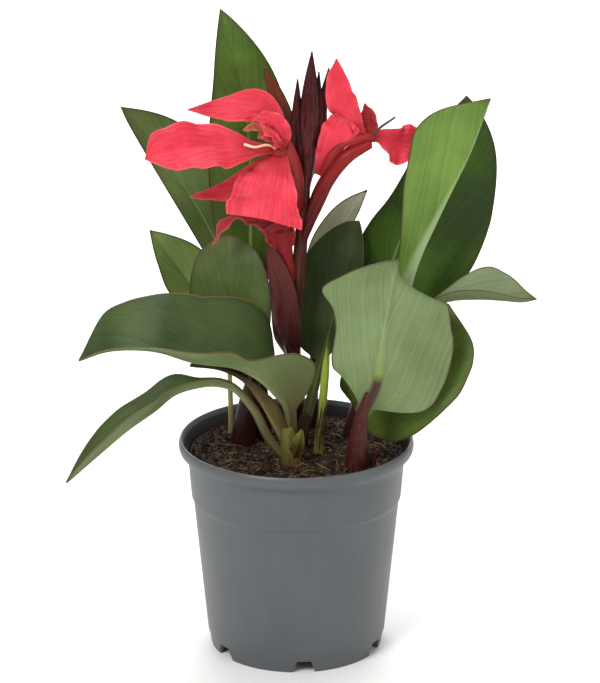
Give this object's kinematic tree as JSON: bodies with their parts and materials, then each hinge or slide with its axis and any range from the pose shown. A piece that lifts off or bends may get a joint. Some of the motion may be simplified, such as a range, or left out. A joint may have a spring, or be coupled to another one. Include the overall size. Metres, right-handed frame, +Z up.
{
  "type": "potted canna lily",
  "caption": "Red-flowered canna lily with broad arching leaves and maroon buds, growing in soil in a tapered grey nursery pot with a notched foot.",
  "frame": {"origin": "centre of the pot's flat centre pad, on the plane that the pot stands on", "axes": "+Z is up along the plant, the longest extent; +X is the viewer's right with the two open flowers at the front; +Y is away from the viewer"},
  "size_m": [0.3339, 0.17, 0.4662],
  "materials": {
    "pot_plastic": "grey satin polypropylene, injection moulded",
    "potting_soil": "dark peat and coir crumbs with pale fibres",
    "stem_purple": "smooth waxy stalk, purple-red fading to green",
    "leaf_green": "satin leaf, deep green with parallel veins and a dark red margin",
    "bud_maroon": "matt dark maroon bud scales",
    "petal_red": "soft coral-red petal with fine veins",
    "style_cream": "cream, smooth"
  },
  "bodies": {
    "root": {"back_stalk": "stem_purple", "bloom_left_calyx": "bud_maroon", "bloom_left_petals": "petal_red", "bloom_left_style": "style_cream", "bloom_low_petals": "petal_red", "bloom_right_calyx": "bud_maroon", "bloom_right_petals": "petal_red", "bloom_right_style": "style_cream", "bract_behind": "bud_maroon", "bud_cluster": "bud_maroon", "flower_stem": "stem_purple", "leaf_behind_right": "leaf_green", "leaf_big_right": "leaf_green", "leaf_centre_left": "leaf_green", "leaf_centre_right": "leaf_green", "leaf_far_right": "leaf_green", "leaf_front_left": "leaf_green", "leaf_front_right": "leaf_green", "leaf_inner_left": "leaf_green", "leaf_low_left": "leaf_green", "leaf_narrow_left": "leaf_green", "leaf_rolled": "leaf_green", "leaf_small_back": "leaf_green", "leaf_small_left": "leaf_green", "leaf_top": "leaf_green", "leaf_upper_left": "leaf_green", "nursery_pot": "pot_plastic", "pale_stalk": "stem_purple", "potting_soil": "potting_soil", "sheath_bract": "bud_maroon", "sheath_front": "leaf_green", "shoot_centre": "stem_purple", "shoot_front": "stem_purple", "shoot_left": "stem_purple", "shoot_left_back": "stem_purple", "shoot_right": "stem_purple", "shoot_right_back": "stem_purple", "shoot_right_small": "stem_purple", "thin_shoot": "stem_purple"}
  },
  "joints": []
}
